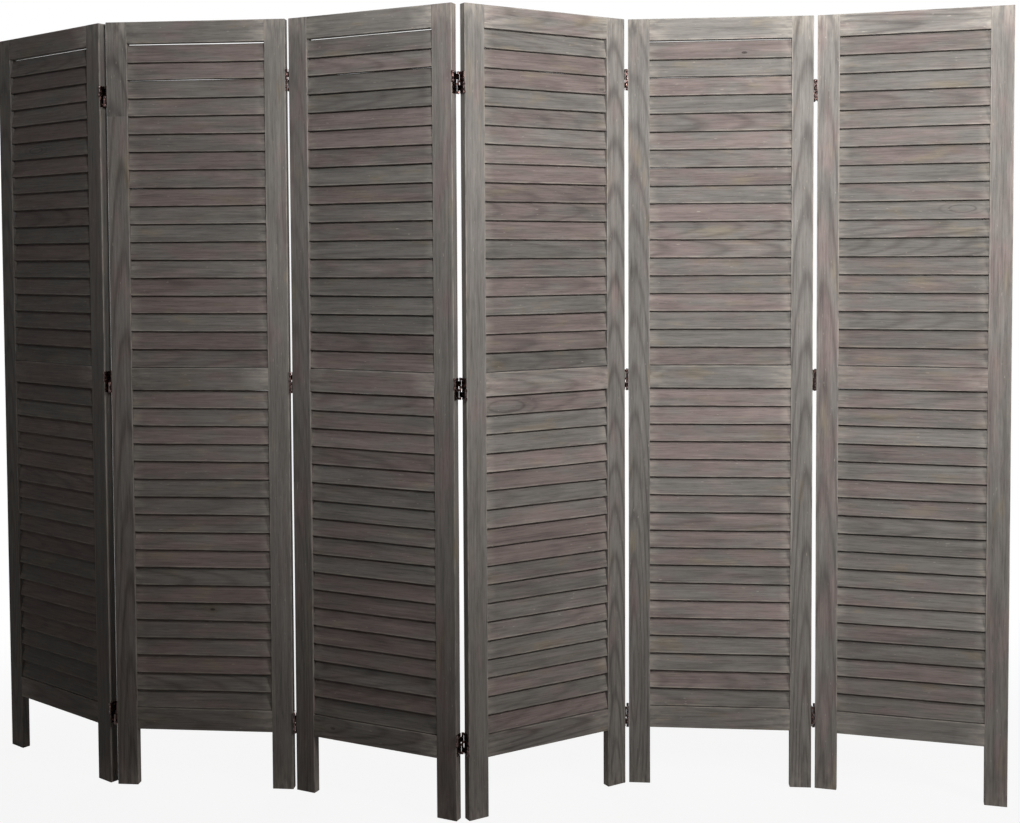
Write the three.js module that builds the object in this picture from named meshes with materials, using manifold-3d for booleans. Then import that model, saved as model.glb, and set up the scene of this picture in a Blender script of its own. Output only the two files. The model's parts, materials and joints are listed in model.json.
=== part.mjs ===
// Folding louvred room divider: six wooden panels in a zigzag row, joined by double-action hinges.
// Millimetres, +Z up. The row runs along +X, the front faces look towards -Y, the feet stand on z = 0.
// In a panel's own frame x runs along its width, y from its front face to its back, z upwards.

import * as THREE from 'three';
import { mergeVertices } from 'three/addons/utils/BufferGeometryUtils.js';
import Module from 'manifold-3d';

// ---- driving dimensions -------------------------------------------------------------------

const panelHeight = 1700;
const panelWidth = 402;
const panelThickness = 19;
const stileWidth = 47;
const legHeight = 127;
const topRailHeight = 47;
const middleRailHeight = 49;
const bottomRailHeight = 48;
const frameArris = 0.6;

const tenonLength = 12;
const tenonThickness = 8;
const tenonSetIn = 7;
const jointClearance = 0.3;

const slatWidth = 41;
const slatThickness = 6;
const slatTilt = 13;
const slatInset = 1.5;
const slatTopGap = 1.2;
const slatBottomGap = 0.8;
const slatLeastOverlap = 1;
const slatHousingDepth = 6;

const hingeHeight = 46;
const leafThickness = 1.2;
const leafMargin = 1;
const leafSeatGap = 0.3;
const pinOffset = 3.7;
const pinProud = 2.1;
const barrelRadius = 2.3;
const pinRadius = 1.05;
const pinClearance = 0.3;
const knuckleHeight = 5.5;
const knuckleGap = 0.3;
const linkThickness = 1.5;
const weldDepth = 0.2;

const lowerHingeHeight = [160, 150];
const middleHingeHeight = 907;
const upperHingeDrop = [161, 132];

// Each fold as the screen stands: a negative angle closes the backs, a positive one the fronts.
const firstHeading = 38.6;
const foldAngles = [-33.4, 20.8, -56.9, 36.2, 10.9];

const woodTints = [0x6b6661, 0x7d7974, 0x75716c, 0x8d8983, 0x96928c, 0x918c86];
const hingeColour = 0x4d3a33;

// ---- sizes that follow from them ----------------------------------------------------------

const railLength = panelWidth - 2 * stileWidth;
const bankHeight = (panelHeight - legHeight - bottomRailHeight - middleRailHeight - topRailHeight) / 2;
const bottomRailBase = legHeight;
const lowerBankBase = bottomRailBase + bottomRailHeight;
const middleRailBase = lowerBankBase + bankHeight;
const upperBankBase = middleRailBase + middleRailHeight;
const topRailBase = upperBankBase + bankHeight;

const tilt = THREE.MathUtils.degToRad(slatTilt);
const slatRise = slatWidth * Math.cos(tilt) + slatThickness * Math.sin(tilt);
const slatReach = slatWidth * Math.sin(tilt) + slatThickness * Math.cos(tilt);
const slatTravel = bankHeight - slatTopGap - slatBottomGap - slatRise;
const slatSteps = Math.ceil(slatTravel / (slatRise - slatLeastOverlap));
const slatPitch = slatTravel / slatSteps;

const hingeHalf = (hingeHeight - knuckleGap) / 2;
const eyeSides = 8;
const pinSides = 6;

// ---- solids -------------------------------------------------------------------------------

const wasm = await Module();
wasm.setup();

function toSolid(geometry) {
  const bare = geometry.clone();
  bare.deleteAttribute('normal');
  bare.deleteAttribute('uv');
  const merged = mergeVertices(bare, 1e-4);
  const mesh = new wasm.Mesh({
    numProp: 3,
    vertProperties: new Float32Array(merged.attributes.position.array),
    triVerts: new Uint32Array(merged.index.array),
  });
  return new wasm.Manifold(mesh);
}

function toGeometry(solid) {
  const mesh = solid.getMesh();
  const geometry = new THREE.BufferGeometry();
  geometry.setAttribute('position', new THREE.BufferAttribute(mesh.vertProperties, 3));
  geometry.setIndex(new THREE.BufferAttribute(mesh.triVerts, 1));
  geometry.computeVertexNormals();
  return geometry;
}

function join(solids) {
  return solids.reduce((whole, solid) => whole.add(solid));
}

function outline(points, holes = []) {
  const shape = new THREE.Shape(points.map(([x, y]) => new THREE.Vector2(x, y)));
  shape.holes = holes.map((hole) => new THREE.Path(hole.map(([x, y]) => new THREE.Vector2(x, y))));
  return shape;
}

// An outline in x and y, raised from z = low to z = high.
function upright(shape, low, high) {
  const geometry = new THREE.ExtrudeGeometry(shape, { depth: high - low, bevelEnabled: false });
  geometry.translate(0, 0, low);
  return geometry;
}

// An outline in y and z, run along x from start to end.
function lengthwise(shape, start, end) {
  const geometry = new THREE.ExtrudeGeometry(shape, { depth: end - start, bevelEnabled: false });
  const across = new THREE.Matrix4().makeBasis(
    new THREE.Vector3(0, 1, 0),
    new THREE.Vector3(0, 0, 1),
    new THREE.Vector3(1, 0, 0),
  );
  geometry.applyMatrix4(across);
  geometry.translate(start, 0, 0);
  return geometry;
}

function box(low, high) {
  const size = high.map((value, axis) => value - low[axis]);
  const geometry = new THREE.BoxGeometry(...size);
  geometry.translate(...low.map((value, axis) => value + size[axis] / 2));
  return geometry;
}

// A rectangle from (0, 0) with its four corners cut off at 45 degrees.
function easedRectangle(width, height, cut) {
  return outline([
    [cut, 0], [width - cut, 0], [width, cut], [width, height - cut],
    [width - cut, height], [cut, height], [0, height - cut], [0, cut],
  ]);
}

function ring(radius, count, centreX, centreY) {
  return Array.from({ length: count }, (unused, step) => {
    const angle = ((step + 0.5) * 2 * Math.PI) / count;
    return [centreX + radius * Math.cos(angle), centreY + radius * Math.sin(angle)];
  });
}

// ---- panel frame --------------------------------------------------------------------------

function tenonBox(railHeight, from, to, grow) {
  const middle = panelThickness / 2;
  const half = tenonThickness / 2 + grow;
  return box([from, middle - half, tenonSetIn - grow], [to, middle + half, railHeight - tenonSetIn + grow]);
}

// A rail between the stiles, with a stub tenon on each end.
function railGeometry(railHeight) {
  const body = toSolid(lengthwise(
    easedRectangle(panelThickness, railHeight, frameArris),
    jointClearance,
    railLength - jointClearance,
  ));
  const tenon = toSolid(tenonBox(railHeight, -tenonLength, railLength + tenonLength, 0));
  return toGeometry(body.add(tenon));
}

// The mortises for the three rails, cut into a stile's inner edge.
function mortises(from, to) {
  const rails = [
    [bottomRailBase, bottomRailHeight],
    [middleRailBase, middleRailHeight],
    [topRailBase, topRailHeight],
  ];
  return join(rails.map(([base, height]) => {
    const cut = tenonBox(height, from, to, jointClearance);
    cut.translate(0, 0, base);
    return toSolid(cut);
  }));
}

// A slat's section: its lower edge lies near the panel's front, its upper edge leans back.
function slatSection(grow) {
  const centreY = slatInset + slatReach / 2;
  const centreZ = slatRise / 2;
  const halfWidth = slatWidth / 2 + grow;
  const halfThickness = slatThickness / 2 + grow;
  const corners = [[-1, -1], [1, -1], [1, 1], [-1, 1]];
  return outline(corners.map(([across, along]) => [
    centreY + across * halfThickness * Math.cos(tilt) + along * halfWidth * Math.sin(tilt),
    centreZ - across * halfThickness * Math.sin(tilt) + along * halfWidth * Math.cos(tilt),
  ]));
}

// Every slat of both banks between two places along the panel's width.
function slats(start, end, grow) {
  const section = slatSection(grow);
  const banks = [lowerBankBase, upperBankBase];
  const bases = banks.flatMap((bank) => Array.from(
    { length: slatSteps + 1 },
    (unused, step) => bank + slatBottomGap + step * slatPitch,
  ));
  return join(bases.map((base) => {
    const slat = lengthwise(section, start, end);
    slat.translate(0, 0, base);
    return toSolid(slat);
  }));
}

function stileBlank() {
  return toSolid(upright(easedRectangle(stileWidth, panelThickness, frameArris), 0, panelHeight));
}

// The left stile carries the slats, glued into it at one end.
function leftStileGeometry() {
  const glueDepth = slatHousingDepth / 2;
  const slatEnd = stileWidth + railLength + slatHousingDepth - jointClearance;
  const stile = stileBlank().subtract(mortises(
    stileWidth - tenonLength - jointClearance,
    stileWidth + tenonLength,
  ));
  return toGeometry(stile.add(slats(stileWidth - glueDepth, slatEnd, 0)));
}

// The right stile has a slanted housing for the free end of each slat.
function rightStileGeometry() {
  const stile = stileBlank().subtract(mortises(-tenonLength, tenonLength + jointClearance));
  return toGeometry(stile.subtract(slats(-slatHousingDepth, slatHousingDepth, jointClearance)));
}

// ---- double-action hinge ------------------------------------------------------------------
// Each hinge has a leaf on either stile. A leaf has one barrel in front of the panel and one behind
// it, in different halves of the hinge's height, and a link crosses from each front barrel to the
// other leaf's rear barrel. A fold turns about the front pins or the rear pins. The link whose far
// pin is on the turning line moves with the leaf at its other end.
// Here x runs out from the stile's edge, y from front to back, z up from the hinge's middle.

const seat = leafSeatGap;
const leafFace = leafSeatGap + leafThickness;

function pinY(atFront) {
  return atFront ? -pinProud : panelThickness + pinProud;
}

// The leaf's end, rolled round its pin: a flank on the stile's side and a round barrel.
function rolledKnuckle(atFront, low, high) {
  const y = pinY(atFront);
  const inwards = atFront ? 1 : -1;
  const turns = [240, 300, 0, 60, 120].map(THREE.MathUtils.degToRad);
  const barrel = turns.map((angle) => [
    pinOffset + barrelRadius * Math.cos(angle),
    y + inwards * barrelRadius * Math.sin(angle),
  ]);
  const root = y + inwards * (pinProud + leafMargin);
  const points = [[leafFace, root], [seat, root], [seat, y - inwards * leafThickness / 2], ...barrel];
  return toSolid(upright(outline(points), low, high));
}

function leafPlate() {
  return toSolid(box(
    [seat, leafMargin, -hingeHeight / 2],
    [leafFace, panelThickness - leafMargin, hingeHeight / 2],
  ));
}

function halfRange(isUpper) {
  const low = isUpper ? knuckleGap / 2 : -knuckleGap / 2 - hingeHalf;
  return [low, low + hingeHalf];
}

// Two knuckles and the pin that they hold, on the line that the fold turns about.
function heldPin(atFront, isUpper) {
  const [low, high] = halfRange(isUpper);
  const pin = outline(ring(pinRadius, pinSides, pinOffset, pinY(atFront)));
  return join([
    rolledKnuckle(atFront, low, low + knuckleHeight),
    rolledKnuckle(atFront, high - knuckleHeight, high),
    toSolid(upright(pin, low, high)),
  ]);
}

// The other barrel of the leaf and its link, which ends in an eye round the other leaf's pin.
function barrelAndLink(barrelAtFront, isUpper) {
  const [low, high] = halfRange(isUpper);
  const eyeLow = low + knuckleHeight + knuckleGap;
  const eyeHigh = high - knuckleHeight - knuckleGap;
  const eyeY = pinY(!barrelAtFront);
  const barrelY = pinY(barrelAtFront);
  const boreRadius = (pinRadius + pinClearance) / Math.cos(Math.PI / pinSides);
  const eye = outline(
    ring(barrelRadius, eyeSides, pinOffset, eyeY),
    [ring(boreRadius, pinSides, pinOffset, eyeY)],
  );
  const eyeRim = eyeY + Math.sign(barrelY - eyeY) * (barrelRadius * Math.cos(Math.PI / eyeSides) - weldDepth);
  const link = box(
    [pinOffset - linkThickness / 2, Math.min(eyeRim, barrelY), eyeLow],
    [pinOffset + linkThickness / 2, Math.max(eyeRim, barrelY), eyeHigh],
  );
  return join([
    rolledKnuckle(barrelAtFront, low, high),
    toSolid(upright(eye, eyeLow, eyeHigh)),
    toSolid(link),
  ]);
}

// One side of a hinge. The leaf on a panel's right edge has its front barrel in the upper half,
// the leaf on a panel's left edge in the lower half.
function hingeSideGeometry(onRightEdge, turnsAtFront) {
  const turningHalf = onRightEdge === turnsAtFront;
  const side = join([
    leafPlate(),
    heldPin(turnsAtFront, turningHalf),
    barrelAndLink(!turnsAtFront, !turningHalf),
  ]);
  const geometry = toGeometry(side);
  return onRightEdge ? geometry : turnedOver(geometry);
}

// The same piece for a left edge: mirrored in x, with its faces still pointing outwards.
function turnedOver(geometry) {
  geometry.scale(-1, 1, 1);
  const index = geometry.index.array;
  for (let corner = 0; corner < index.length; corner += 3) {
    [index[corner], index[corner + 1]] = [index[corner + 1], index[corner]];
  }
  geometry.computeVertexNormals();
  return geometry;
}

// ---- materials ----------------------------------------------------------------------------

const woods = woodTints.map((color) => new THREE.MeshStandardMaterial({
  color, roughness: 0.78, metalness: 0,
}));
const hingeMetal = new THREE.MeshStandardMaterial({ color: hingeColour, roughness: 0.42, metalness: 0.85 });

// ---- assembly -----------------------------------------------------------------------------

function piece(name, geometry, material, x, z) {
  const mesh = new THREE.Mesh(geometry, material);
  mesh.name = name;
  mesh.position.set(x, 0, z);
  return mesh;
}

const leftStile = leftStileGeometry();
const rightStile = rightStileGeometry();
const topRail = railGeometry(topRailHeight);
const middleRail = railGeometry(middleRailHeight);
const bottomRail = railGeometry(bottomRailHeight);

function panelFrame(number, wood) {
  const label = `panel_${number}`;
  return [
    piece(`${label}_left_stile_and_slats`, leftStile, wood, 0, 0),
    piece(`${label}_right_stile`, rightStile, wood, panelWidth - stileWidth, 0),
    piece(`${label}_top_rail`, topRail, wood, stileWidth, topRailBase),
    piece(`${label}_middle_rail`, middleRail, wood, stileWidth, middleRailBase),
    piece(`${label}_bottom_rail`, bottomRail, wood, stileWidth, bottomRailBase),
  ];
}

// The hinge heights alternate a little from fold to fold.
function hingeHeights(fold) {
  const kind = fold % 2;
  return {
    upper: panelHeight - upperHingeDrop[kind],
    middle: middleHingeHeight,
    lower: lowerHingeHeight[kind],
  };
}

function turnsAtFront(fold) {
  return foldAngles[fold] > 0;
}

// The three leaves on one edge of a panel, for the fold beside that edge.
function hingeLeaves(fold, onRightEdge) {
  const geometry = hingeSideGeometry(onRightEdge, turnsAtFront(fold));
  const sideName = onRightEdge ? 'left' : 'right';
  const edge = onRightEdge ? panelWidth : 0;
  return Object.entries(hingeHeights(fold)).map(([place, height]) => piece(
    `fold_${fold + 1}_${place}_hinge_${sideName}_leaf`, geometry, hingeMetal, edge, height,
  ));
}

// Where the next panel's frame stands when it is turned about the fold's pin line.
function nextPanel(panel, fold) {
  const heading = panel.heading + foldAngles[fold];
  const y = pinY(turnsAtFront(fold));
  const pin = new THREE.Vector3(panelWidth + pinOffset, y, 0)
    .applyAxisAngle(new THREE.Vector3(0, 0, 1), -THREE.MathUtils.degToRad(panel.heading))
    .add(panel.corner);
  const corner = new THREE.Vector3(pinOffset, -y, 0)
    .applyAxisAngle(new THREE.Vector3(0, 0, 1), -THREE.MathUtils.degToRad(heading))
    .add(pin);
  return { corner, heading };
}

function buildScreen() {
  const screen = new THREE.Group();
  let place = { corner: new THREE.Vector3(), heading: firstHeading };
  woods.forEach((wood, index) => {
    const panel = new THREE.Group();
    panel.add(...panelFrame(index + 1, wood));
    if (index > 0) panel.add(...hingeLeaves(index - 1, false));
    if (index < foldAngles.length) panel.add(...hingeLeaves(index, true));
    panel.position.copy(place.corner);
    panel.rotation.z = -THREE.MathUtils.degToRad(place.heading);
    screen.add(panel);
    if (index < foldAngles.length) place = nextPanel(place, index);
  });
  return screen;
}

// The origin is on the floor, in the middle of the standing screen's box.
function centred(screen) {
  const middle = new THREE.Box3().setFromObject(screen).getCenter(new THREE.Vector3());
  screen.position.set(-middle.x, -middle.y, 0);
  return screen;
}

export default centred(buildScreen());
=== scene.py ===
import json
import math
import random

import bmesh
import bpy
from mathutils import Matrix, Vector


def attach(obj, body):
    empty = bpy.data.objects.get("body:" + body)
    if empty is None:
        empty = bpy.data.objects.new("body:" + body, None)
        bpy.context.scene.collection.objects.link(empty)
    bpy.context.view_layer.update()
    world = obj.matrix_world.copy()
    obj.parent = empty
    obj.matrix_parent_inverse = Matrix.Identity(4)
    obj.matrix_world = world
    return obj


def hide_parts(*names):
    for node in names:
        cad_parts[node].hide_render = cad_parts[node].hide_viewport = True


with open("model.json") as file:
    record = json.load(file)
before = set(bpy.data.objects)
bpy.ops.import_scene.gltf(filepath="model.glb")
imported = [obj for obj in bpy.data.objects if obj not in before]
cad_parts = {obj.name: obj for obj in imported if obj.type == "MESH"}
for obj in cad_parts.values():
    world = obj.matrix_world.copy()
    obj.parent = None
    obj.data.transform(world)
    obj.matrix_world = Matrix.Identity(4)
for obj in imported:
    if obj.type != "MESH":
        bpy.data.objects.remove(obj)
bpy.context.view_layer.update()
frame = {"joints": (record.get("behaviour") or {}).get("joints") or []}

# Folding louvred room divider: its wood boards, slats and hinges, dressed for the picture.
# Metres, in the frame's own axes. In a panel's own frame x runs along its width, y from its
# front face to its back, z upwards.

# ---- sizes of the screen ------------------------------------------------------------------

PANEL_COUNT = 6
PANEL_HEIGHT = 1.700
PANEL_WIDTH = 0.402
THICKNESS = 0.019
STILE = 0.047
LEG = 0.127
TOP_RAIL = 0.047
MIDDLE_RAIL = 0.049
BOTTOM_RAIL = 0.048

SLATS_PER_BANK = 18
SLAT_WIDTH = 0.041
SLAT_THICKNESS = 0.006
SLAT_TILT = math.radians(13)
SLAT_INSET = 0.0015  # behind the panel's front
SLAT_HELD = 0.004  # inside the stile at either end
SLAT_TOP_GAP = 0.0007
SLAT_BOTTOM_GAP = 0.0004

HINGE_HEIGHT = 0.046
LEAF = 0.0012  # a leaf's thickness
LEAF_MARGIN = 0.001  # from the panel's faces
LEAF_SEAT = 0.0003  # from the stile's edge
PIN_OFFSET = 0.0037  # beyond the stile's edge
PIN_PROUD = 0.0021  # beyond the panel's face
PIN_RADIUS = 0.00105
BARREL_RADIUS = 0.0023
EYE_BORE = 0.00135
KNUCKLE = 0.0055
KNUCKLE_GAP = 0.0003
LOWER_HINGE = [0.160, 0.150]  # at odd and at even folds, as the next list
UPPER_HINGE_DROP = [0.161, 0.132]
MIDDLE_HINGE = 0.907

FIRST_HEADING = 38.6
FOLD_ANGLES = [-33.4, 20.8, -56.9, 36.2, 10.9]

RAIL_LENGTH = PANEL_WIDTH - 2 * STILE
BANK = (PANEL_HEIGHT - LEG - BOTTOM_RAIL - MIDDLE_RAIL - TOP_RAIL) / 2
LOWER_BANK = LEG + BOTTOM_RAIL
MIDDLE_BASE = LOWER_BANK + BANK
UPPER_BANK = MIDDLE_BASE + MIDDLE_RAIL
TOP_BASE = UPPER_BANK + BANK
SLAT_RISE = SLAT_WIDTH * math.cos(SLAT_TILT) + SLAT_THICKNESS * math.sin(SLAT_TILT)
SLAT_REACH = SLAT_WIDTH * math.sin(SLAT_TILT) + SLAT_THICKNESS * math.cos(SLAT_TILT)
SLAT_PITCH = (BANK - SLAT_TOP_GAP - SLAT_BOTTOM_GAP - SLAT_RISE) / (SLATS_PER_BANK - 1)

X = Vector((1, 0, 0))
Y = Vector((0, 1, 0))
Z = Vector((0, 0, 1))

# ---- where the panels stand ---------------------------------------------------------------


def pin_y(at_front):
    return -PIN_PROUD if at_front else THICKNESS + PIN_PROUD


def panel_places():
    """A matrix for each panel, from the pin lines that the frame's joints give."""
    pins = {joint["name"]: Vector(joint["pos_m"]) for joint in frame["joints"]}
    places = []
    heading = FIRST_HEADING
    for index in range(PANEL_COUNT):
        fold = max(index - 1, 0)
        turn = Matrix.Rotation(-math.radians(heading), 4, "Z")
        edge = PANEL_WIDTH + PIN_OFFSET if index == 0 else -PIN_OFFSET
        held = Vector((edge, pin_y(FOLD_ANGLES[fold] > 0), 0))
        corner = pins[f"fold_{fold + 1}"] - turn @ held
        corner.z = 0
        places.append(Matrix.Translation(corner) @ turn)
        if index < len(FOLD_ANGLES):
            heading += FOLD_ANGLES[index]
    return places


PLACES = panel_places()

# ---- pieces -------------------------------------------------------------------------------


def add_object(name, data):
    made = bpy.data.objects.new(name, data)
    bpy.context.scene.collection.objects.link(made)
    return made


def add_piece(name, mesh, material, sharp_angle, number):
    """A visible piece that rides on a panel's body, smooth but for its sharp edges."""
    mesh.polygons.foreach_set("use_smooth", [True] * len(mesh.polygons))
    mesh.set_sharp_from_angle(angle=math.radians(sharp_angle))
    mesh.materials.append(material)
    piece = add_object(name, mesh)
    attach(piece, f"panel_{number}")
    return piece


def arc_points(centre, radius, turns):
    return [(centre[0] + radius * math.cos(t), centre[1] + radius * math.sin(t)) for t in turns]


# ---- boards -------------------------------------------------------------------------------

ARC_TURNS = [0, math.pi / 6, math.pi / 3, math.pi / 2]
SHOULDER_RADII = 3  # how far the clean wood lies from an arris, in radii of the arris
SHOULDER_SHARE = 0.4  # and at most, as a share of the flat between two arrises
WOOD_SHARP_ANGLE = 40
END_CHAMFER = 0.0006
SPLICE_CLEAR = 0.01
SPLICE_STEP = 0.0001
DRIFT_WAVES = (9, 31)  # in radians a metre
FAST_SHARE = 0.5  # of the fast wave beside the slow one
TWIST_WAVE = 7
TWIST_SHARE = 0.4  # of the wave beside the even twist
DRAWN_FIGURE = 0.9  # the most that a board's growth rings stand out by chance
LEVEL_SPREAD = 0.1
KNOT, ISLAND, CRACK = 1.0, 2.0, 3.0
FAR_MARK = (9.0, 9.0, 0.0)


class BoardMesh:
    """Vertices and faces, with what the wood reads: where a point lies in its board's grain,
    three numbers that set the board's figure apart, the board's tone (its level, how strong
    its growth rings are, its hue), how near an edge the point is and how much painted shade
    it takes in the gap between slats, and where a mark is."""

    def __init__(self):
        self.verts = []
        self.faces = []
        self.layers = {"grain": [], "board": [], "tone": [], "edge": [], "mark": []}

    def add(self, verts, faces, layers):
        base = len(self.verts)
        self.verts += verts
        self.faces += [[base + corner for corner in face] for face in faces]
        for name, values in layers.items():
            self.layers[name] += values

    def make(self, number, name, node, material):
        """The piece of panel `number` that stands for one of its CAD nodes."""
        mesh = bpy.data.meshes.new(f"panel_{number}_{name}")
        place = PLACES[number - 1]
        mesh.from_pydata([place @ Vector(vert) for vert in self.verts], [], self.faces)
        for label, values in self.layers.items():
            layer = mesh.attributes.new(label, "FLOAT_VECTOR", "POINT")
            layer.data.foreach_set("vector", [share for value in values for share in value])
        piece = add_piece(mesh.name, mesh, material, WOOD_SHARP_ANGLE, number)
        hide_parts(f"panel_{number}_{node}")


def board_section(width, height, radius):
    """A rectangle with rounded arrises as (across, through, near an edge) points, turning left."""
    flats = (height - 2 * radius, width - 2 * radius)
    shoulders = [min(SHOULDER_RADII * radius, SHOULDER_SHARE * flat) for flat in flats]
    points = []
    for corner, (side_a, side_t) in enumerate([(1, 1), (-1, 1), (-1, -1), (1, -1)]):
        centre = (side_a * (width / 2 - radius), side_t * (height / 2 - radius))
        start = corner * math.pi / 2
        arc = arc_points(centre, radius, [start + turn for turn in ARC_TURNS])
        before, after = shoulders[corner % 2], shoulders[(corner + 1) % 2]
        cos, sin = math.cos(start), math.sin(start)
        points.append((arc[0][0] + sin * before, arc[0][1] - cos * before, 0.0))
        points += [(a, t, 1.0) for a, t in arc]
        points.append((arc[-1][0] - cos * after, arc[-1][1] - sin * after, 0.0))
    return points


def warp(rng, bow, wave, twist):
    """How a board departs from straight: side offsets and a turn, along its length. The last
    phase isn't used, and is drawn to keep the order of the draws."""
    phases = [rng.uniform(0, 2 * math.pi) for _ in range(4)]
    sizes = [rng.uniform(-1, 1) for _ in range(3)]
    slow, fast = DRIFT_WAVES

    def at(share, metres):
        across = math.sin(metres * slow + phases[0])
        across += FAST_SHARE * math.sin(metres * fast + phases[1])
        through = bow * sizes[0] * math.sin(math.pi * share)
        ripple = TWIST_SHARE * sizes[2] * math.sin(metres * TWIST_WAVE + phases[2])
        turn = twist * (sizes[1] * (share - 0.5) + ripple)
        return wave * across / (1 + FAST_SHARE), through, turn

    return at


class Board:
    """What sets one board's wood apart from the next board's."""

    def __init__(self, rng, level, figure=None, green=0.0):
        self.seed = (rng.random(), rng.random(), rng.random())
        drawn = DRAWN_FIGURE * rng.random() ** 2
        level *= rng.uniform(1 - LEVEL_SPREAD, 1 + LEVEL_SPREAD)
        hue = green + (1 - green) * rng.random()
        self.tone = (level, drawn if figure is None else figure, hue)


def station_list(length, spacing, splice):
    """Distances along a board at which its section is set, closer at the ends and a splice."""
    count = max(2, round(length / spacing))
    stations = [0, END_CHAMFER] + [length * step / count for step in range(1, count)]
    stations += [length - END_CHAMFER, length]
    if splice:
        stations = [metres for metres in stations if abs(metres - splice) > SPLICE_CLEAR]
        stations = sorted(stations + [splice - SPLICE_STEP, splice + SPLICE_STEP])
    return stations


def from_mark(mark, place, across):
    """Where a board's point lies from the board's mark, in the mark's size, and its kind."""
    if not mark:
        return FAR_MARK
    mark_place, mark_across, kind, size = mark
    return (place - mark_place) / size, (across - mark_across) / size, kind


def add_board(
    mesh, board, axes, length, section, bends, spacing, mark=None, splice=None, painted_shade=0.0,
):
    """One board, swept along its length with its own slight bends."""
    centre, along, across, through = axes
    stations = station_list(length, spacing, splice)
    ring = len(section)
    verts = []
    layers = {name: [] for name in mesh.layers}
    for number, metres in enumerate(stations):
        drift, bow, turn = bends(metres / length, metres)
        cos, sin = math.cos(turn), math.sin(turn)
        from_end = min(number, len(stations) - 1 - number)
        inset = 1 - END_CHAMFER / section[0][0] if from_end == 0 else 1
        beyond = splice is not None and metres > splice
        seed = tuple(1 - value for value in board.seed) if beyond else board.seed
        place = metres - length / 2
        for a, t, near in section:
            a_turned = (a * cos - t * sin) * inset + drift
            t_turned = (a * sin + t * cos) * inset + bow
            verts.append(tuple(centre + along * place + across * a_turned + through * t_turned))
            layers["grain"].append((place, a, t))
            layers["board"].append(seed)
            layers["tone"].append(board.tone)
            # The edge layer holds how near an arris a point is, and how much painted shade it
            # takes in the gaps between slats.
            layers["edge"].append((1.0 if from_end < 2 else near, painted_gap_shade(a, painted_shade), 0.0))
            layers["mark"].append(from_mark(mark, place, a))
    faces = []
    for number in range(len(stations) - 1):
        low, high = number * ring, (number + 1) * ring
        for corner in range(ring):
            following = (corner + 1) % ring
            faces.append([low + corner, low + following, high + following, high + corner])
    last = (len(stations) - 1) * ring
    faces.append(list(reversed(range(ring))))
    faces.append([last + corner for corner in range(ring)])
    if along.cross(across).dot(through) < 0:
        faces = [face[::-1] for face in faces]
    mesh.add(verts, faces, layers)


# ---- panels -------------------------------------------------------------------------------

FRAME_ARRIS = 0.0008
FRAME_SPACING = 0.06
FRAME_LEVEL = 1.0
STILE_WAVE = 0.00015
STILE_GREEN = 0.6
RAIL_WAVE = 0.0001
RAIL_GREEN = 0.35

# The slats' small irregularities. Angles are in degrees. Panel 1 is seen so steeply that its
# slats show light between them unless they are set more evenly.
SLAT_ARRIS = 0.0011
SLAT_SPACING = 0.03
SLAT_TILT_SPREAD = 0.6
SLAT_STRAY = 0.0005
SLAT_LEAN = 0.15
SLAT_BOW = 0.0005
SLAT_WAVE = 0.0004
SLAT_TWIST = 0.8
SLAT_FIGURE = (0.08, 0.8)  # the least, and what a draw's third power adds
CALM = {1: 0.3}
TOP_SLAT_DROPS = {1: 0.0011, 2: 0.0015, 3: 0.0015, 5: 0.0008}

# Tones of the slats: the upper bank is darker than the lower, and the stain is a little darker or
# greener from panel to panel.
SLAT_LEVELS = {"upper_slats": 0.80, "lower_slats": 0.97}
PANEL_LEVELS = [1.05, 1.04, 0.98, 0.94, 1.07, 0.93]
PANEL_GREEN = [0.0, 0.05, 0.0, 0.0, 0.15, 0.4]
# Painted shade in the gaps between slats, standing for the shadow there: its share, bank by bank
# and panel by panel.
PAINTED_GAP_SHADES = {
    "upper_slats": [1.0, 1.0, 1.0, 0.55, 0.6, 0.7],
    "lower_slats": [1.0, 1.0, 1.0, 0.7, 1.0, 1.0],
}
NARROW_FACE = SLAT_WIDTH / 2 - 0.7 * SLAT_ARRIS
COVERED_EDGE = SLAT_WIDTH / 2 - 2 * SLAT_ARRIS

# What single boards show: a mark as its place along the board, its place across, its kind and
# its size, boards whose growth rings stand out, and a stile that is spliced from two lengths.
MARKS = {
    (3, "bottom_rail"): (-0.105, 0.001, KNOT, 1.0),
    (3, "right_stile"): (0.15, 0.012, CRACK, 1.0),
    (4, "upper_slats", 15): (0.143, -0.010, KNOT, 1.0),
    (5, "upper_slats", 17): (0.052, -0.008, KNOT, 1.0),
    (2, "lower_slats", 5): (0.02, 0.004, KNOT, 1.0),
    (4, "lower_slats", 17): (-0.103, -0.003, ISLAND, 2.1),
    (6, "upper_slats", 8): (0.100, 0.002, ISLAND, 1.3),
    (1, "upper_slats", 12): (-0.06, 0.0, ISLAND, 1.2),
}
STRONG_FIGURE = {
    (2, "left_stile"), (4, "right_stile"), (5, "right_stile"), (6, "top_rail"), (4, "bottom_rail"),
}
SPLICES = {(2, "left_stile"): 1.494}


def frame_board(number, name, rng, green):
    return Board(rng, FRAME_LEVEL, 1.0 if (number, name) in STRONG_FIGURE else None, green)


def make_stile(number, name, node, x, rng, material):
    mesh = BoardMesh()
    centre = Vector((x, THICKNESS / 2, PANEL_HEIGHT / 2))
    board = frame_board(number, name, rng, STILE_GREEN)
    bends = warp(rng, 0.0, STILE_WAVE, 0.0)
    add_board(
        mesh, board, (centre, Z, X, Y), PANEL_HEIGHT, board_section(STILE, THICKNESS, FRAME_ARRIS),
        bends, FRAME_SPACING, mark=MARKS.get((number, name)), splice=SPLICES.get((number, name)),
    )
    mesh.make(number, name, node, material)


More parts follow.
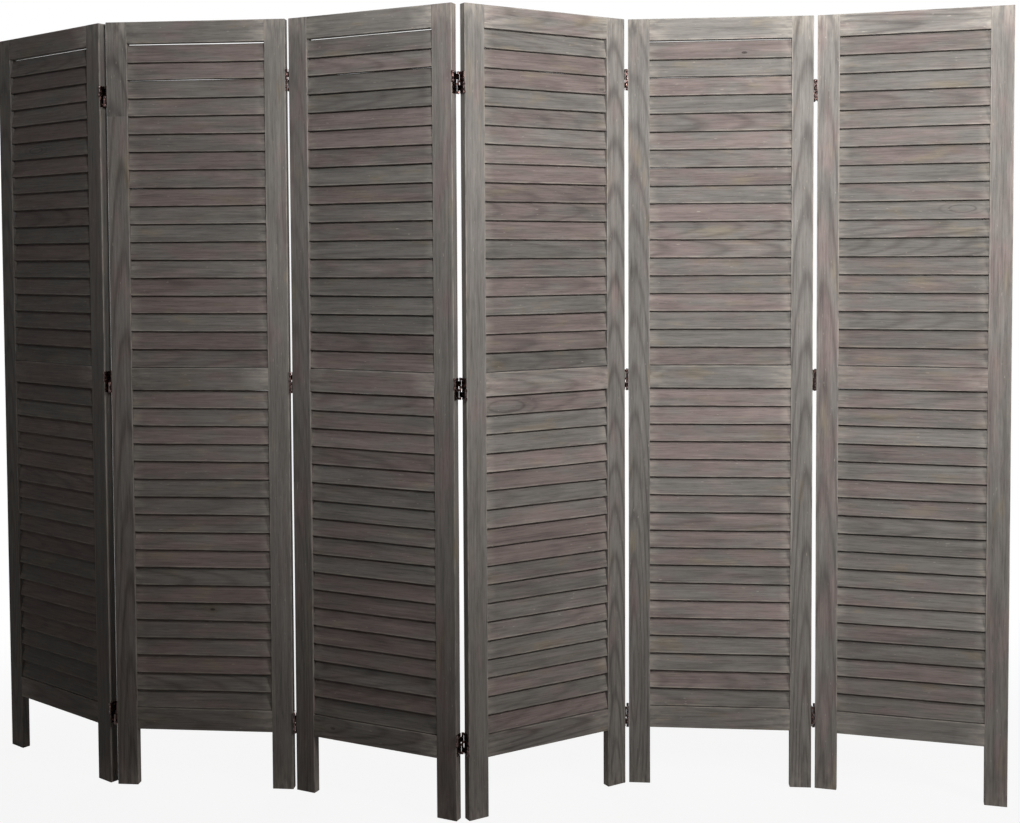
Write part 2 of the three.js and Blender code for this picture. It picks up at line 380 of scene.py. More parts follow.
def make_rail(number, name, base, height, rng, material):
    mesh = BoardMesh()
    centre = Vector((PANEL_WIDTH / 2, THICKNESS / 2, base + height / 2))
    board = frame_board(number, name, rng, RAIL_GREEN)
    bends = warp(rng, 0.0, RAIL_WAVE, 0.0)
    add_board(
        mesh, board, (centre, X, Z, Y), RAIL_LENGTH, board_section(height, THICKNESS, FRAME_ARRIS),
        bends, FRAME_SPACING, mark=MARKS.get((number, name)),
    )
    mesh.make(number, name, name, material)


def painted_gap_shade(across, shade):
    """How much painted shade a point of a slat takes, standing for the shadow in the gap between
    it and the next: all of it on its two narrow faces, and half as much on the top of its wide
    faces, where the next slat covers it."""
    if abs(across) > NARROW_FACE:
        return shade
    return 0.5 * shade if across > COVERED_EDGE else 0.0


def make_bank(number, name, base, rng, material):
    """The slats above or below the middle rail."""
    mesh = BoardMesh()
    section = board_section(SLAT_WIDTH, SLAT_THICKNESS, SLAT_ARRIS)
    level = SLAT_LEVELS[name] * PANEL_LEVELS[number - 1]
    least_figure, more_figure = SLAT_FIGURE
    calm = CALM.get(number, 1.0)
    for slat in range(SLATS_PER_BANK):
        tilt = SLAT_TILT + math.radians(rng.uniform(-SLAT_TILT_SPREAD, SLAT_TILT_SPREAD))
        across = Vector((0, math.sin(tilt), math.cos(tilt)))
        through = Vector((0, math.cos(tilt), -math.sin(tilt)))
        height = base + SLAT_BOTTOM_GAP + slat * SLAT_PITCH + SLAT_RISE / 2
        stray = rng.uniform(-SLAT_STRAY, SLAT_STRAY)
        if 0 < slat < SLATS_PER_BANK - 1:
            height += stray * calm
        elif slat > 0 and name == "upper_slats":
            height -= TOP_SLAT_DROPS.get(number, 0.0)
        centre = Vector((PANEL_WIDTH / 2, SLAT_INSET + SLAT_REACH / 2, height))
        lean = math.radians(rng.uniform(-SLAT_LEAN, SLAT_LEAN)) * calm
        along = Vector((math.cos(lean), 0, math.sin(lean)))
        figure = least_figure + more_figure * rng.random() ** 3
        board = Board(rng, level, figure, PANEL_GREEN[number - 1])
        bends = warp(rng, SLAT_BOW, SLAT_WAVE * calm, math.radians(SLAT_TWIST))
        add_board(
            mesh, board, (centre, along, across, through), RAIL_LENGTH + 2 * SLAT_HELD, section,
            bends, SLAT_SPACING, mark=MARKS.get((number, name, slat)),
            painted_shade=PAINTED_GAP_SHADES[name][number - 1],
        )
    mesh.make(number, name, "left_stile_and_slats", material)


def make_panel(number, material):
    rng = random.Random(100 + number)
    make_stile(number, "left_stile", "left_stile_and_slats", STILE / 2, rng, material)
    make_stile(number, "right_stile", "right_stile", PANEL_WIDTH - STILE / 2, rng, material)
    make_rail(number, "top_rail", TOP_BASE, TOP_RAIL, rng, material)
    make_rail(number, "middle_rail", MIDDLE_BASE, MIDDLE_RAIL, rng, material)
    make_rail(number, "bottom_rail", LEG, BOTTOM_RAIL, rng, material)
    make_bank(number, "upper_slats", UPPER_BANK, rng, material)
    make_bank(number, "lower_slats", LOWER_BANK, rng, material)


# ---- hinges -------------------------------------------------------------------------------
# x runs out from the stile's edge, y from the panel's front to its back, z up from the hinge's
# middle. A leaf carries a barrel in front of its panel in one half of the hinge's height and a
# barrel behind it in the other half, and a link crosses from one of them to the other leaf.

METAL_BEVEL = 0.00015
METAL_BEVEL_ANGLE = 50
METAL_SHARP_ANGLE = 35
TURN_STEP = 15  # degrees, between the points of a round edge
KNUCKLE_TURNS = (240, 480)  # where the leaf's end meets its barrel, and its far end
BEND_PULL = 0.0018
BEND_SHARES = (0.0, 0.25, 0.5, 0.75)
LEAF_CORNER = 0.0012
LINK_SPREAD = 3
LIP_CLEAR = 0.0026
LIP_SINK = 0.00005
PIN_STEPS = 16
PIN_HEAD = [(0.0, 0.00105), (0.00002, 0.0016), (0.00028, 0.0015), (0.00046, 0.001), (0.00054, 0.0)]

# A screw's head as heights above the leaf's face and radii, its recess as heights and sizes.
SCREW_STEPS = 24
SCREW_PLACES = [(-0.0165, 0.0068), (-0.0055, 0.0122), (0.0055, 0.0068), (0.0165, 0.0122)]
SCREW_HEAD = [(-0.0003, 0.0023), (0.00005, 0.0023), (0.0002, 0.0021), (0.00032, 0.0016)]
RECESS = [(0.00036, 1.0), (-0.0001, 0.7)]
RECESS_MIDDLE = -0.0002
RECESS_ARM = 0.0012
RECESS_HALF_WIDTH = 0.0003
NEARLY_ZERO = 1e-6


def circle(centre, radius, first=0, last=360 - TURN_STEP):
    turns = [math.radians(angle) for angle in range(first, last + 1, TURN_STEP)]
    return arc_points(centre, radius, turns)


def add_walls(bm, low, high, reverse=False):
    """Side faces between two rings of vertices."""
    for index in range(len(low)):
        following = (index + 1) % len(low)
        face = [low[index], low[following], high[following], high[index]]
        bm.faces.new(face[::-1] if reverse else face)


def add_solid(bm, bottom, top):
    """Both ends and the sides of a solid between two rings of vertices."""
    bm.faces.new(bottom[::-1])
    bm.faces.new(top)
    add_walls(bm, bottom, top)


def add_prism(bm, points, low, high):
    add_solid(bm, *([bm.verts.new((x, y, z)) for x, y in points] for z in (low, high)))


def add_link(bm, low, high):
    """A flat strip with a round eye at either end. The strip leaves each eye's rim between the
    points LINK_SPREAD steps on either side of the direction to the other eye."""
    eyes = []
    for y in (pin_y(True), pin_y(False)):
        rims = []
        for radius in (BARREL_RADIUS, EYE_BORE):
            points = circle((PIN_OFFSET, y), radius)
            rims.append([[bm.verts.new((*point, z)) for point in points] for z in (low, high)])
        eyes.append(rims)
    steps = len(eyes[0][0][0])
    front, back = steps // 4, 3 * steps // 4
    for toward, (outer, inner) in zip((front, back), eyes):
        for index in range(steps):
            after = (index + 1) % steps
            bm.faces.new([outer[0][after], outer[0][index], inner[0][index], inner[0][after]])
            bm.faces.new([outer[1][index], outer[1][after], inner[1][after], inner[1][index]])
            if not -LINK_SPREAD <= index - toward < LINK_SPREAD:
                bm.faces.new([outer[0][index], outer[0][after], outer[1][after], outer[1][index]])
        add_walls(bm, inner[0], inner[1], reverse=True)
    (front_rim, _), (back_rim, _) = eyes
    sides = range(LINK_SPREAD, -LINK_SPREAD - 1, -1)
    for level in (0, 1):
        face = [front_rim[level][front + side] for side in sides]
        face += [back_rim[level][back + side] for side in sides]
        bm.faces.new(face if level == 0 else face[::-1])
    for side in (-LINK_SPREAD, LINK_SPREAD):
        face = [
            front_rim[0][front + side], back_rim[0][back - side],
            back_rim[1][back - side], front_rim[1][front + side],
        ]
        bm.faces.new(face if side < 0 else face[::-1])


def knuckle_points(at_front):
    """The leaf's end rolled round its pin, seen from above."""
    y = pin_y(at_front)
    inwards = 1 if at_front else -1
    first, last = KNUCKLE_TURNS
    rolled = circle((PIN_OFFSET, 0), BARREL_RADIUS, first, last)
    barrel = [(x, y + inwards * off) for x, off in rolled]
    root = y + inwards * (PIN_PROUD + LEAF_MARGIN)
    curve = ((LEAF_SEAT, y), (LEAF_SEAT, y - inwards * BEND_PULL), barrel[0])
    bend = []
    for share in BEND_SHARES:
        weights = ((1 - share) ** 2, 2 * share * (1 - share), share ** 2)
        bend.append(tuple(
            sum(weight * point[axis] for weight, point in zip(weights, curve)) for axis in (0, 1)
        ))
    points = [(LEAF_SEAT + LEAF, root), (LEAF_SEAT, root)] + bend + barrel
    return points if at_front else points[::-1]


def add_lip(bm, at_front, low, high):
    """The leaf's edge drawn out towards an eye of the other leaf's link."""
    edge = LEAF_MARGIN if at_front else THICKNESS - LEAF_MARGIN
    away = pin_y(at_front) - edge
    across = PIN_OFFSET - LEAF_SEAT - LEAF
    reach = edge + away - math.copysign(math.sqrt(LIP_CLEAR ** 2 - across ** 2), away)
    inside = edge - math.copysign(LEAF_MARGIN, away)
    near, far = min(inside, reach), max(inside, reach)
    inner, outer = LEAF_SEAT + LIP_SINK, LEAF_SEAT + LEAF - LIP_SINK
    add_prism(bm, [(inner, near), (outer, near), (outer, far), (inner, far)], low, high)


def add_plate(bm):
    """The leaf's plate with small round corners."""
    radius = LEAF_CORNER
    low, high = LEAF_MARGIN, THICKNESS - LEAF_MARGIN
    tall = HINGE_HEIGHT / 2
    corners = [(high - radius, tall - radius), (low + radius, tall - radius),
               (low + radius, radius - tall), (high - radius, radius - tall)]
    points = [point for index, corner in enumerate(corners)
              for point in circle(corner, radius, 90 * index, 90 * index + 90)]
    faces = (LEAF_SEAT, LEAF_SEAT + LEAF)
    add_solid(bm, *([bm.verts.new((x, y, z)) for y, z in points] for x in faces))


def join_rings(bm, rings):
    """Side faces between rings of vertices, and fans where a ring is a single vertex."""
    for low, high in zip(rings, rings[1:]):
        if len(low) > 1 and len(high) > 1:
            add_walls(bm, low, high)
            continue
        single, many = (low[0], high) if len(low) == 1 else (high[0], low)
        for index in range(len(many)):
            pair = [many[index], many[(index + 1) % len(many)]]
            bm.faces.new([single] + (pair[::-1] if len(low) == 1 else pair))


def add_pin(bm, at_front, low, high):
    """A pin with a domed head at the hinge's outer end, turned about its own axis."""
    if low > 0:
        profile = [(low, 0.0), (low, PIN_RADIUS)]
        profile += [(high + height, radius) for height, radius in PIN_HEAD]
    else:
        profile = [(low - height, radius) for height, radius in PIN_HEAD[::-1]]
        profile += [(high, PIN_RADIUS), (high, 0.0)]
    centre = (PIN_OFFSET, pin_y(at_front))
    turns = [2 * math.pi * step / PIN_STEPS for step in range(PIN_STEPS)]
    rings = []
    for height, radius in profile:
        points = arc_points(centre, radius, turns) if radius else [centre]
        rings.append([bm.verts.new((*point, height)) for point in points])
    join_rings(bm, rings)


def add_screw(bm, y, z, turn):
    """A countersunk screw's head, its cross recess turned by some angle, facing along x."""
    face = LEAF_SEAT + LEAF
    angles = [2 * math.pi * step / SCREW_STEPS for step in range(SCREW_STEPS)]
    cross = []
    for angle in angles:
        narrow = max(NEARLY_ZERO, min(abs(math.sin(angle)), abs(math.cos(angle))))
        cross.append(min(RECESS_ARM, RECESS_HALF_WIDTH / narrow))

    def ring(height, reaches):
        return [bm.verts.new((
            face + height, y + reach * math.cos(angle + turn), z + reach * math.sin(angle + turn),
        )) for angle, reach in zip(angles, reaches)]

    rings = [[bm.verts.new((face + SCREW_HEAD[0][0], y, z))]]
    rings += [ring(height, [radius] * SCREW_STEPS) for height, radius in SCREW_HEAD]
    rings += [ring(height, [size * reach for reach in cross]) for height, size in RECESS]
    rings += [[bm.verts.new((face + RECESS_MIDDLE, y, z))]]
    join_rings(bm, rings)


def add_knuckles(bm, at_front, low, high):
    points = knuckle_points(at_front)
    add_prism(bm, points, low, low + KNUCKLE)
    add_prism(bm, points, high - KNUCKLE, high)
    add_pin(bm, at_front, low, high)


def hinge_side(on_right_edge, turns_at_front, rng):
    """One side of a hinge, for a panel's right edge or turned over for its left edge."""
    bm = bmesh.new()
    gap, end = KNUCKLE_GAP / 2, HINGE_HEIGHT / 2
    halves = {True: (gap, end), False: (-end, -gap)}
    turns_above = on_right_edge == turns_at_front
    eye = KNUCKLE + KNUCKLE_GAP
    low, high = halves[turns_above]
    add_knuckles(bm, turns_at_front, low, high)
    add_lip(bm, turns_at_front, low + eye, high - eye)
    low, high = halves[not turns_above]
    add_knuckles(bm, not turns_at_front, low, high)
    add_link(bm, low + eye, high - eye)
    add_plate(bm)
    bm.normal_update()
    least = math.radians(METAL_BEVEL_ANGLE)
    sharp = [edge for edge in bm.edges if edge.calc_face_angle(0.0) > least]
    bmesh.ops.bevel(bm, geom=sharp, offset=METAL_BEVEL, segments=2, profile=0.5, affect="EDGES")
    for z, y in SCREW_PLACES:
        add_screw(bm, y, z, rng.uniform(0, math.pi))
    if not on_right_edge:
        for vertex in bm.verts:
            vertex.co.x = -vertex.co.x
        bmesh.ops.reverse_faces(bm, faces=bm.faces)
    return bm


def make_hinges(number, material):
    """The hinge sides on both edges of one panel."""
    rng = random.Random(200 + number)
    for side, fold in (("left", number), ("right", number - 1)):
        if not 1 <= fold <= len(FOLD_ANGLES):
            continue
        on_right_edge = side == "left"
        kind = (fold - 1) % 2
        heights = {
            "upper": PANEL_HEIGHT - UPPER_HINGE_DROP[kind],
            "middle": MIDDLE_HINGE,
            "lower": LOWER_HINGE[kind],
        }
        for place, height in heights.items():
            bm = hinge_side(on_right_edge, FOLD_ANGLES[fold - 1] > 0, rng)
            at = Vector((PANEL_WIDTH if on_right_edge else 0, 0, height))
            bm.transform(PLACES[number - 1] @ Matrix.Translation(at))
            name = f"fold_{fold}_{place}_hinge_{side}"
            mesh = bpy.data.meshes.new(name)
            bm.to_mesh(mesh)
            bm.free()
            piece = add_piece(name, mesh, material, METAL_SHARP_ANGLE, number)
            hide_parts(f"{name}_leaf")


# ---- shader nodes -------------------------------------------------------------------------


class Nodes:
    """A short way to write the shader nodes of a material or a world."""

    def __init__(self, owner):
        self.owner = owner
        owner.use_nodes = True
        self.tree = owner.node_tree
        self.tree.nodes.clear()

    def new(self, kind, inputs=(), **settings):
        node = self.tree.nodes.new(kind)
        for key, value in settings.items():
            setattr(node, key, value)
        for key, value in dict(inputs).items():
            self.put(node.inputs[key], value)
        return node

    def put(self, socket, value):
        if isinstance(value, bpy.types.NodeSocket):
            self.tree.links.new(value, socket)
        else:
            socket.default_value = value

    def shader(self, kind, inputs):
        return self.new(kind, inputs).outputs[0]

    def attribute(self, name):
        return self.new("ShaderNodeAttribute", attribute_name=name).outputs["Vector"]

    def math(self, operation, *values):
        return self.new("ShaderNodeMath", dict(enumerate(values)), operation=operation).outputs[0]

    def plus(self, first, second):
        return self.math("ADD", first, second)

    def minus(self, first, second):
        return self.math("SUBTRACT", first, second)

    def times(self, first, *others):
        for other in others:
            first = self.math("MULTIPLY", first, other)
        return first

    def times_plus(self, value, factor, extra):
        return self.math("MULTIPLY_ADD", value, factor, extra)

    def swing(self, value, size):
        """How far a number from 0 to 1 departs from its middle, made larger or smaller."""
        return self.times(self.minus(value, 0.5), size)

    def vector(self, operation, *values):
        inputs = dict(enumerate(values))
        return self.new("ShaderNodeVectorMath", inputs, operation=operation).outputs[0]

    def length(self, value):
        return self.new("ShaderNodeVectorMath", {0: value}, operation="LENGTH").outputs["Value"]

    def split(self, value):
        node = self.new("ShaderNodeSeparateXYZ", {0: value})
        return node.outputs[0], node.outputs[1], node.outputs[2]

    def join(self, x, y, z):
        return self.new("ShaderNodeCombineXYZ", {0: x, 1: y, 2: z}).outputs[0]

    def noise(self, vector, detail, roughness):
        inputs = {"Vector": vector, "Scale": 1.0, "Detail": detail, "Roughness": roughness}
        return self.new("ShaderNodeTexNoise", inputs).outputs["Fac"]

    def remap(self, value, low, high, to_low=0.0, to_high=1.0, smooth=True):
        inputs = {
            "Value": value, "From Min": low, "From Max": high, "To Min": to_low, "To Max": to_high,
        }
        kind = "SMOOTHSTEP" if smooth else "LINEAR"
        return self.new("ShaderNodeMapRange", inputs, interpolation_type=kind).outputs[0]

    def bell(self, value, middle, width):
        """1 at the middle, falling smoothly to 0 on both sides."""
        away = self.math("DIVIDE", self.minus(value, middle), width)
        return self.math("EXPONENT", self.times(away, away, -1.0))

    def mix(self, share, first, second, blend="MIX"):
        node = self.new("ShaderNodeMix", data_type="RGBA", blend_type=blend)
        self.put(node.inputs[0], share)
        self.put(node.inputs[6], first)
        self.put(node.inputs[7], second)
        return node.outputs[2]

    def bump(self, height, strength, distance):
        inputs = {"Strength": strength, "Distance": distance, "Height": height}
        return self.new("ShaderNodeBump", inputs).outputs[0]

    def finish(self, kind, shader):
        self.new(kind, {0: shader})
        return self.owner


def srgb(red, green, blue):
    """A colour written as on screen, 0 to 255, in the linear numbers that a shader takes."""
    def linear(value):
        share = value / 255
        return share / 12.92 if share <= 0.04045 else ((share + 0.055) / 1.055) ** 2.4
    return (linear(red), linear(green), linear(blue), 1.0)


# ---- wood ---------------------------------------------------------------------------------

PURPLE_GREY = srgb(127, 114, 111)
GREEN_GREY = srgb(119, 115, 111)
BEIGE = srgb(134, 123, 107)
DARK_GRAIN = srgb(58, 51, 50)
KNOT_CORE = srgb(44, 38, 36)
WORN_PALE = srgb(176, 168, 158)
# The colour of the painted shade in the gaps between slats.
PAINTED_GAP_SHADE_COLOUR = srgb(34, 29, 27)

# The wood's noises: how fast each changes along the grain and across it, by the metre, a shift
# that sets it apart from the others, its detail and its roughness.
NOISES = {
    "meander": (2.2, 9.0, 0.0, 2.0, 0.5),
    "streaks": (9.0, 250.0, 3.0, 4.0, 0.65),
    "bands": (4.5, 80.0, 7.0, 2.0, 0.5),
    "fibres": (30.0, 700.0, 5.0, 3.0, 0.65),
    "pores": (50.0, 2100.0, 9.0, 1.0, 0.5),
    "patches": (9.0, 28.0, 13.0, 3.0, 0.55),
    "clouds": (8.0, 26.0, 17.0, 3.0, 0.55),
    "stains": (8.0, 26.0, 19.0, 3.0, 0.55),
    "flecks": (70.0, 330.0, 23.0, 1.0, 0.5),
    "rub": (26.0, 90.0, 0.0, 3.0, 0.6),
}
SHIFT_SHARES = (1.0, 1.7, 0.6)
SEED_REACH = (41.0, 37.0, 43.0)
MEANDER = 0.010  # how far the grain wanders sideways

# Where a noise begins to show and where it shows fully, and how strongly its colour is laid on.
GREEN_HUE = (0.34, 0.66)
HUE_SWING = 0.42
STAIN = (0.57, 0.76, 0.7)
FIBRE = (0.52, 0.32, 0.3)
PORE = (0.64, 0.74, 0.3)
FLECK = (0.74, 0.8, 0.5)
WEAR = (0.3, 0.66, 0.46)
# How strongly the painted shade darkens the slats' gaps.
PAINTED_GAP_SHADE_STRENGTH = 0.8
STREAK_SWING = 1.05  # how much lighter and darker each noise makes the wood
BAND_SWING = 0.62
CLOUD_SWING = 0.4

# Growth rings: how far a board's heart strays from its middle, how the heart's depth slopes
# along the board and how deep it lies, the rings' tightness, each as what a seed adds and the
# least, how far the rings wander, how narrow their dark lines are and how strong.
HEART_STRAY = 0.03
HEART_SLOPE = (0.05, 0.025)
HEART_DEPTH = (0.05, 0.03)
RING_TIGHTNESS = (450.0, 750.0)
RING_WANDER = 3.5
RING_POWER = 3.5
RING_STRENGTH = 0.42

# Marks: a knot pushes the grain aside and has fine rings and a halo, an island is two ovals,
# each a place, a width and a strength, and a crack is a fine line that wavers.
KNOT_SQUEEZE = 0.45
KNOT_NEAR = 0.010
KNOT_PUSH = 0.8
KNOT_RADII = (0.0036, 0.0018)
KNOT_RINGS = 4200.0
KNOT_RING_TONES = (0.2, 0.72)
KNOT_HALO = 0.22
ISLAND_RADII = (0.021, 0.0062)
ISLAND_OVALS = ((1.0, 0.1, 1.0), (1.7, 0.14, 0.5))
ISLAND_STRENGTH = 0.4
CRACK_WAVER = 0.008
CRACK_WIDTH = 0.0005
CRACK_REACH = 0.3
CRACK_STRENGTH = 0.7

WOOD_ROUGHNESS = (0.3, 0.7, 0.72, 0.86)  # over the streaks: from, to, and the roughness there
WOOD_SPECULAR = 0.12
WOOD_BUMP = (0.4, 0.0004)
PORE_DEPTH = (0.62, 0.72, 0.4)


def growth_rings(n, x, y, z, seeds, clouds):
    """1 on the dark lines of the growth rings round a board's heart, 0 between them."""
    seed_a, seed_b, seed_c = seeds
    heart_y = n.plus(y, n.swing(seed_a, HEART_STRAY))
    slope = n.times_plus(seed_c, *HEART_SLOPE)
    heart_z = n.plus(n.times(x, slope), n.times_plus(seed_b, *HEART_DEPTH))
    reach = n.length(n.join(heart_y, n.plus(heart_z, z), 0.0))
    turns = n.times(reach, n.times_plus(seed_b, *RING_TIGHTNESS))
    waves = n.math("SINE", n.plus(turns, n.swing(clouds, RING_WANDER)))
    return n.math("POWER", n.times_plus(waves, 0.5, 0.5), RING_POWER)


def wood_material():
    """Grey-washed softwood. It reads each board's own grain, so the figure runs along it."""
    n = Nodes(bpy.data.materials.new("grey_washed_wood"))
    seed = n.attribute("board")
    # The edge layer's second number is the painted shade of the slats' gaps.
    edge, painted_shade, _ = n.split(n.attribute("edge"))
    level, figure, hue = n.split(n.attribute("tone"))
    mark_x, mark_y, mark_kind = n.split(n.attribute("mark"))
    is_knot, is_island, is_crack = [
        n.math("COMPARE", mark_kind, kind, 0.5) for kind in (KNOT, ISLAND, CRACK)
    ]
    x, y, z = n.split(n.attribute("grain"))
    far = n.vector("MULTIPLY", seed, SEED_REACH)

    def grain_noise(name, y):
        along, across, shift, detail, roughness = NOISES[name]
        point = n.vector("MULTIPLY", n.join(x, y, z), (along, across, across))
        shifts = n.vector("ADD", far, tuple(shift * share for share in SHIFT_SHARES))
        return n.noise(n.vector("ADD", point, shifts), detail, roughness)

    knot_reach = n.length(n.join(n.times(mark_x, KNOT_SQUEEZE), mark_y, 0.0))
    near_knot = n.times(n.bell(knot_reach, 0.0, KNOT_NEAR), is_knot)
    y = n.minus(y, n.times(mark_y, near_knot, KNOT_PUSH))
    meander = grain_noise("meander", y)
    y = n.plus(y, n.swing(meander, MEANDER))
    streaks, bands, fibres, pores, patches, clouds, stains, flecks, rub = [
        grain_noise(name, y) for name in NOISES if name != "meander"
    ]

    def shown(noise, begins, full, strength):
        return n.times(n.remap(noise, begins, full), strength)

    # The stain's hue, then the dark grain.
    tint = n.plus(patches, n.swing(hue, HUE_SWING))
    colour = n.mix(n.remap(tint, *GREEN_HUE), PURPLE_GREY, GREEN_GREY)
    colour = n.mix(shown(stains, *STAIN), colour, BEIGE)
    rings = growth_rings(n, x, y, z, n.split(seed), clouds)
    colour = n.mix(n.times(rings, figure, RING_STRENGTH), colour, DARK_GRAIN)
    colour = n.mix(shown(fibres, *FIBRE), colour, DARK_GRAIN)
    colour = n.mix(shown(pores, *PORE), colour, DARK_GRAIN)

    # Knots with fine rings in a soft halo, islands and cracks.
    knot_waves = n.math("SINE", n.times(knot_reach, KNOT_RINGS))
    core = n.times(n.remap(knot_reach, *KNOT_RADII), is_knot)
    core = n.times(core, n.times_plus(knot_waves, *KNOT_RING_TONES))
    colour = n.mix(core, colour, KNOT_CORE)
    colour = n.mix(n.times(near_knot, KNOT_HALO), colour, DARK_GRAIN)
    along, across = [
        n.math("DIVIDE", value, radius) for value, radius in zip((mark_x, mark_y), ISLAND_RADII)
    ]
    oval = n.length(n.join(along, across, 0.0))
    rims = [n.times(n.bell(oval, place, width), strong) for place, width, strong in ISLAND_OVALS]
    island = n.times(n.math("MAXIMUM", *rims), is_island, ISLAND_STRENGTH)
    colour = n.mix(island, colour, DARK_GRAIN)
    crack = n.bell(n.plus(mark_y, n.swing(meander, CRACK_WAVER)), 0.0, CRACK_WIDTH)
    crack = n.times(crack, n.bell(mark_x, 0.0, CRACK_REACH), is_crack, CRACK_STRENGTH)
    colour = n.mix(crack, colour, DARK_GRAIN)

    # Pale flecks, worn arrises and the painted shade in the gaps between slats, then the lights
    # and darks of it all.
    colour = n.mix(shown(flecks, *FLECK), colour, WORN_PALE)
    colour = n.mix(n.times(edge, shown(rub, *WEAR)), colour, WORN_PALE)
    # Painted shade: the slats' gaps are darkened in colour, standing for the shadow there.
    colour = n.mix(n.times(painted_shade, PAINTED_GAP_SHADE_STRENGTH), colour, PAINTED_GAP_SHADE_COLOUR)
    shade = n.plus(n.swing(streaks, STREAK_SWING), 1.0)
    shade = n.plus(shade, n.swing(bands, BAND_SWING))
    shade = n.plus(shade, n.swing(clouds, CLOUD_SWING))
    shade = n.times(shade, level)
    colour = n.mix(1.0, colour, n.join(shade, shade, shade), "MULTIPLY")

    height = n.plus(n.times(streaks, 0.5), n.times(fibres, 0.5))
    height = n.minus(height, shown(pores, *PORE_DEPTH))
    shader = n.shader("ShaderNodeBsdfPrincipled", {
        "Base Color": colour,
        "Roughness": n.remap(streaks, *WOOD_ROUGHNESS, smooth=False),
        "Normal": n.bump(height, *WOOD_BUMP),
        "Specular IOR Level": WOOD_SPECULAR,
    })
    return n.finish("ShaderNodeOutputMaterial", shader)


# ---- metal --------------------------------------------------------------------------------

BRONZE_DARK = srgb(46, 34, 32)
BRONZE_WORN = srgb(116, 88, 82)
BRONZE_SPECK = srgb(19, 14, 13)
BLOTCH_SIZE = (260.0, 260.0, 160.0)
SPECK_SIZE = (1500.0, 1500.0, 1500.0)
BLOTCHES_WORN = (0.48, 0.72)
SPECKS_SHOWN = (0.6, 0.75)
BRONZE_ROUGHNESS = (0.3, 0.7, 0.2, 0.34)
BRONZE_BUMP = (0.25, 0.0001)


def bronze_material():
    """Dark antique bronze plating, worn to copper in small patches."""
    n = Nodes(bpy.data.materials.new("antique_bronze"))
    place = n.new("ShaderNodeTexCoord").outputs["Object"]
    blotches = n.noise(n.vector("MULTIPLY", place, BLOTCH_SIZE), 4.0, 0.6)
    specks = n.noise(n.vector("MULTIPLY", place, SPECK_SIZE), 2.0, 0.5)
    colour = n.mix(n.remap(blotches, *BLOTCHES_WORN), BRONZE_DARK, BRONZE_WORN)
    colour = n.mix(n.times(n.remap(specks, *SPECKS_SHOWN), 0.5), colour, BRONZE_SPECK)
    shader = n.shader("ShaderNodeBsdfPrincipled", {
        "Base Color": colour,
        "Metallic": 1.0,
        "Roughness": n.remap(blotches, *BRONZE_ROUGHNESS, smooth=False),
        "Normal": n.bump(specks, *BRONZE_BUMP),
        "Coat Weight": 0.2,
        "Coat Roughness": 0.15,
    })
    return n.finish("ShaderNodeOutputMaterial", shader)


# ---- stage --------------------------------------------------------------------------------

# The camera as it was fitted to the photograph's frame, in pixels of that frame.
CAMERA_PLACE = Vector((0.0693, -3.0420, 1.1767))
CAMERA_PITCH = math.radians(-2.354)
CAMERA_ROLL = math.radians(-0.296)
PICTURE_WIDTH = 1020
PICTURE_HEIGHT = 823
FOCAL_PIXELS = 1360.6
CENTRE_PIXEL_X = 505.8
CENTRE_PIXEL_Y = 314.5
SENSOR = 36.0

# Lamps: place, aim, width, power in watts, colour and spread in degrees.
LIGHTS = {
    "key": ((0.39, -2.4, 1.95), (1.18, 0.0, 2.55), 0.8, 56, (0.98, 1.0, 1.0), 125),
    "fill": ((2.25, -2.0, 2.3), (0.2, 0.0, 0.9), 0.7, 41, (1.0, 0.965, 0.93), 180),
    "back": ((-0.3, 3.0, 2.0), (0.0, 0.0, 0.9), 2.0, 32, (1.0, 1.0, 1.0), 180),
}
WHITE = (1.0, 1.0, 1.0, 1.0)
WORLD_COLOUR = (1.0, 0.92, 0.85, 1.0)
WORLD_LIGHT = 0.05

FLOOR_REACH = 14.0
FLOOR_PAINT = (0.45, 0.45, 0.45, 1.0)
FLOOR_OVAL = (0.7, 1.0, 1.0)  # the floor goes over to white along ovals, longer along x
FLOOR_FADE = (0.7, 1.8)
FLOOR_WHITE = (0.91, 1.0)


def make_camera():
    data = bpy.data.cameras.new("camera")
    data.sensor_fit = "HORIZONTAL"
    data.sensor_width = SENSOR
    data.lens = SENSOR * FOCAL_PIXELS / PICTURE_WIDTH
    data.shift_x = (PICTURE_WIDTH / 2 - CENTRE_PIXEL_X) / PICTURE_WIDTH
    data.shift_y = (CENTRE_PIXEL_Y - PICTURE_HEIGHT / 2) / PICTURE_WIDTH
    camera = add_object("camera", data)
    pitch = Matrix.Rotation(math.pi / 2 + CAMERA_PITCH, 4, "X")
    roll = Matrix.Rotation(CAMERA_ROLL, 4, "Z")
    camera.matrix_world = Matrix.Translation(CAMERA_PLACE) @ (pitch @ roll)
    bpy.context.scene.camera = camera


def make_lights():
    for name, (place, aim, width, watts, colour, spread) in LIGHTS.items():
        data = bpy.data.lights.new(name, "AREA")
        data.shape = "DISK"
        data.size = width
        data.energy = watts
        data.color = colour
        data.spread = math.radians(spread)
        light = add_object(name, data)
        light.location = place
        light.rotation_euler = (Vector(aim) - Vector(place)).to_track_quat("-Z", "Y").to_euler()
        light.visible_camera = False


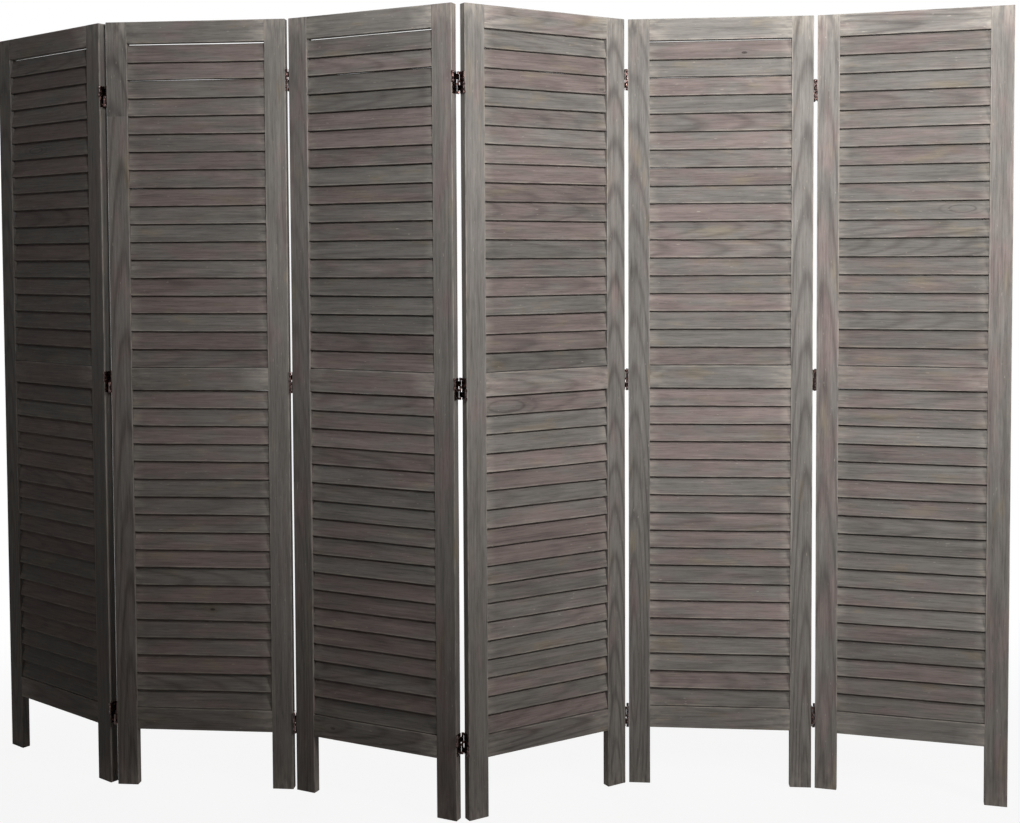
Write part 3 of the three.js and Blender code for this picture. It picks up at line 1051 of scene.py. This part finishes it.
def sees_white(n):
    """1 for camera, glossy and transmission rays, which are the ones that see the white."""
    rays = n.new("ShaderNodeLightPath")
    seen = rays.outputs["Is Camera Ray"]
    for name in ("Is Glossy Ray", "Is Transmission Ray"):
        seen = n.math("MAXIMUM", seen, rays.outputs[name])
    return seen


def make_world():
    world = bpy.data.worlds.new("studio")
    bpy.context.scene.world = world
    n = Nodes(world)
    soft = n.shader("ShaderNodeBackground", {"Color": WORLD_COLOUR, "Strength": WORLD_LIGHT})
    white = n.shader("ShaderNodeBackground", {"Color": WHITE, "Strength": 1.0})
    mixed = n.shader("ShaderNodeMixShader", {0: sees_white(n), 1: soft, 2: white})
    n.finish("ShaderNodeOutputWorld", mixed)


def floor_material():
    """Pale paint that shows almost white to the camera and keeps the screen's shadow. Away
    from the screen it goes over to the white of the backdrop."""
    n = Nodes(bpy.data.materials.new("pale_floor"))
    paint = n.shader("ShaderNodeBsdfDiffuse", {"Color": FLOOR_PAINT})
    glow = n.shader("ShaderNodeEmission", {"Color": WHITE, "Strength": 1.0})
    place = n.new("ShaderNodeNewGeometry").outputs["Position"]
    away = n.length(n.vector("MULTIPLY", place, FLOOR_OVAL))
    share = n.times(sees_white(n), n.remap(away, *FLOOR_FADE, *FLOOR_WHITE))
    mixed = n.shader("ShaderNodeMixShader", {0: share, 1: paint, 2: glow})
    return n.finish("ShaderNodeOutputMaterial", mixed)


def make_floor():
    mesh = bpy.data.meshes.new("floor")
    reach = FLOOR_REACH
    corners = [(-reach, -reach, 0), (reach, -reach, 0), (reach, reach, 0), (-reach, reach, 0)]
    mesh.from_pydata(corners, [], [(0, 1, 2, 3)])
    mesh.materials.append(floor_material())
    add_object("floor", mesh)


make_camera()
make_world()
make_floor()
make_lights()
bpy.context.scene.view_settings.view_transform = "Standard"
WOOD = wood_material()
for panel_number in range(1, PANEL_COUNT + 1):
    make_panel(panel_number, WOOD)
BRONZE = bronze_material()
for panel_number in range(1, PANEL_COUNT + 1):
    make_hinges(panel_number, BRONZE)
